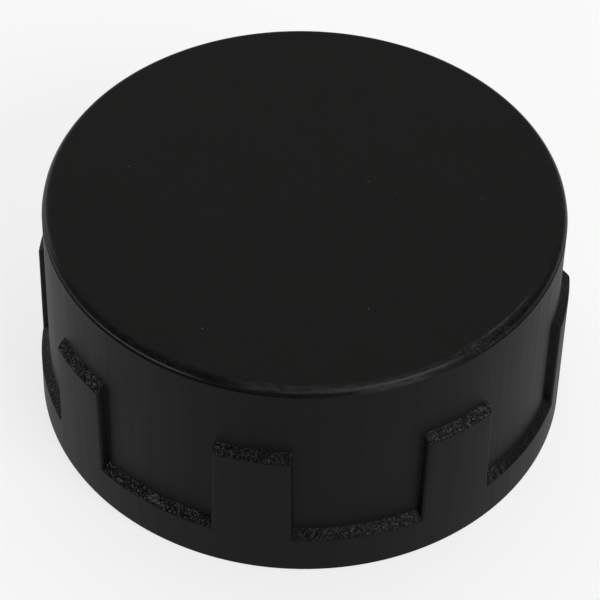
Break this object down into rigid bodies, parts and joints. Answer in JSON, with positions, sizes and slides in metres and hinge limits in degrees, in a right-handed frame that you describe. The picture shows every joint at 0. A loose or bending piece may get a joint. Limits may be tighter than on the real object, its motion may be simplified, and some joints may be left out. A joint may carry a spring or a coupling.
{
  "type": "threaded pipe end cap",
  "caption": "Round moulded plastic cap with a flat top, a band and raised grips round the side, and a threaded blind bore that screws over a pipe's end.",
  "frame": {"origin": "centre of the mouth rim, which is the lowest face and the one that the cap stands on", "axes": "+Z along the thread's axis, from the mouth rim to the flat top; one grip is centred on -Y"},
  "size_m": [0.0724, 0.0724, 0.0334],
  "materials": {
    "cap_plastic": "black moulded plastic, matte, with spark-eroded speckle on the ledges of the band and the grips"
  },
  "bodies": {
    "root": {"end_cap": "cap_plastic"}
  },
  "joints": []
}
